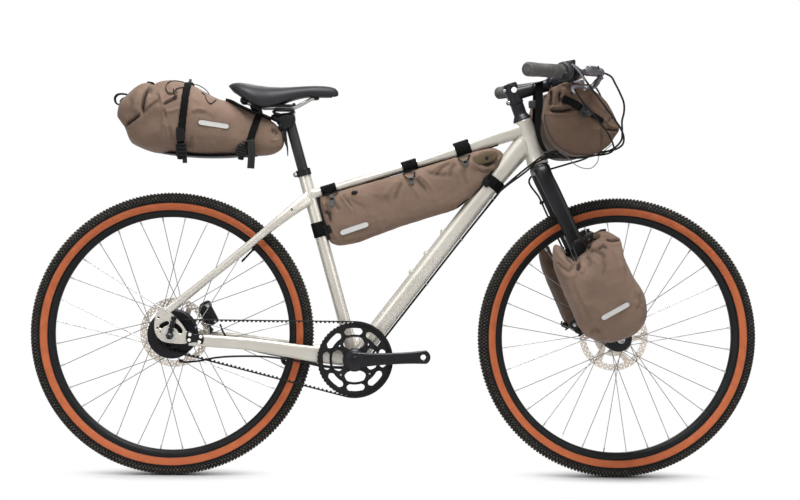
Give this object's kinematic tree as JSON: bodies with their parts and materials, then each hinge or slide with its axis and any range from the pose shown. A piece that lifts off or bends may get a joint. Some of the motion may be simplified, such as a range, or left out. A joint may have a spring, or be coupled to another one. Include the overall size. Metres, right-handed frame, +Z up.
{
  "type": "touring bicycle",
  "caption": "Touring bicycle with belt drive, gear hub, disc brakes, swept handlebar with twist shifter, and soft bags on saddle, frame, handlebar and fork.",
  "frame": {"origin": "on the ground, midway between the two points where the tyres touch it", "axes": "+X forward, +Y to the bicycle's left, +Z up"},
  "size_m": [1.876, 0.7148, 1.0574],
  "materials": {
    "frame_paint": "satin champagne silver paint",
    "black_paint": "satin black",
    "bag_fabric": "coated taupe cloth, matt with a soft sheen",
    "strap_webbing": "woven black webbing",
    "tyre_rubber": "black tread with orange-brown side walls",
    "rim_black": "black anodised",
    "hub_black": "black anodised shell with bright steel spokes",
    "rotor_steel": "pale gold brushed",
    "polished_metal": "polished",
    "belt_black": "matt",
    "grip_rubber": "matt grey",
    "saddle_cover": "matt charcoal",
    "lever_metal": "satin silver-grey",
    "hose_black": "black hose"
  },
  "bodies": {
    "frame": {"head_tube": "frame_paint", "top_tube": "frame_paint", "down_tube": "frame_paint", "seat_tube": "frame_paint", "bottom_bracket_shell": "frame_paint", "chainstay_right": "frame_paint", "chainstay_left": "frame_paint", "seatstay_right": "frame_paint", "seatstay_left": "frame_paint", "dropout_right": "frame_paint", "dropout_left": "frame_paint", "seat_collar": "black_paint", "rear_axle": "polished_metal", "rear_brake_caliper": "black_paint", "rear_brake_hose": "hose_black", "gear_cable": "hose_black", "drive_belt": "belt_black", "frame_bag": "bag_fabric", "top_tube_strap_rear": "strap_webbing", "top_tube_strap_middle": "strap_webbing", "top_tube_strap_front": "strap_webbing", "down_tube_strap": "strap_webbing", "seat_tube_strap": "strap_webbing"},
    "seat": {"seatpost": "black_paint", "saddle": "saddle_cover", "saddle_rails": "polished_metal", "saddle_bag": "bag_fabric", "saddle_bag_strap_rear": "strap_webbing", "saddle_bag_strap_front": "strap_webbing"},
    "steering": {"fork": "black_paint", "stem": "black_paint", "stem_faceplate": "black_paint", "headset_stack": "black_paint", "handlebar": "black_paint", "grip_right": "grip_rubber", "grip_left": "grip_rubber", "brake_body_right": "lever_metal", "brake_body_left": "lever_metal", "shifter_housing": "grip_rubber", "handlebar_bag": "bag_fabric", "fork_bag_right": "bag_fabric", "fork_bag_left": "bag_fabric", "front_axle": "polished_metal", "front_brake_caliper": "black_paint", "front_brake_hose": "hose_black"},
    "twist_shifter": {"twist_shifter": "grip_rubber"},
    "brake_lever_right": {"brake_lever_right": "lever_metal"},
    "brake_lever_left": {"brake_lever_left": "lever_metal"},
    "front_wheel": {"front_tyre": "tyre_rubber", "front_rim": "rim_black", "front_hub": "hub_black", "front_rotor": "rotor_steel"},
    "rear_wheel": {"rear_tyre": "tyre_rubber", "rear_rim": "rim_black", "rear_hub": "hub_black", "rear_rotor": "rotor_steel"},
    "crank": {"crank_right": "black_paint", "crank_left": "black_paint", "front_sprocket": "black_paint"},
    "rear_sprocket": {"rear_sprocket": "hub_black"}
  },
  "joints": [
    {"name": "steering", "type": "hinge", "parent": "frame", "child": "steering", "pos_m": [0.364, 0, 0.811], "axis": [-0.3486, 0, 0.9373], "range_deg": [-70, 70], "deforming": ["rear_brake_hose", "gear_cable"]},
    {"name": "front_wheel_spin", "type": "hinge", "parent": "steering", "child": "front_wheel", "pos_m": [0.575, 0, 0.363], "axis": [0, 1, 0], "continuous": true},
    {"name": "rear_wheel_spin", "type": "hinge", "parent": "frame", "child": "rear_wheel", "pos_m": [-0.575, 0, 0.363], "axis": [0, 1, 0], "continuous": true},
    {"name": "crank_spin", "type": "hinge", "parent": "frame", "child": "crank", "pos_m": [-0.107, 0, 0.304], "axis": [0, 1, 0], "continuous": true},
    {"name": "rear_sprocket_spin", "type": "hinge", "parent": "frame", "child": "rear_sprocket", "pos_m": [-0.575, 0, 0.363], "axis": [0, 1, 0], "continuous": true},
    {"name": "seatpost_slide", "type": "slide", "parent": "frame", "child": "seat", "axis": [-0.274, 0, 0.9617], "range_m": [-0.045, 0.1]},
    {"name": "twist_shifter_turn", "type": "hinge", "parent": "steering", "child": "twist_shifter", "pos_m": [0.36873, -0.25546, 1.02876], "axis": [0.6421, 0.7653, 0.0449], "range_deg": [-138, 138]},
    {"name": "brake_lever_right_squeeze", "type": "hinge", "parent": "steering", "child": "brake_lever_right", "pos_m": [0.48733, -0.15806, 1.01012], "axis": [-0.5126, 0.4301, -0.7431], "range_deg": [0, 11], "stiffness_Nm_per_rad": 4, "springref_deg": -5.73},
    {"name": "brake_lever_left_squeeze", "type": "hinge", "parent": "steering", "child": "brake_lever_left", "pos_m": [0.48733, 0.15806, 1.01012], "axis": [0.5126, 0.4301, 0.7431], "range_deg": [0, 11], "stiffness_Nm_per_rad": 4, "springref_deg": -5.73}
  ],
  "couplings": [
    {"joint": "rear_sprocket_spin", "follows": "crank_spin", "ratio": 2.5}
  ]
}
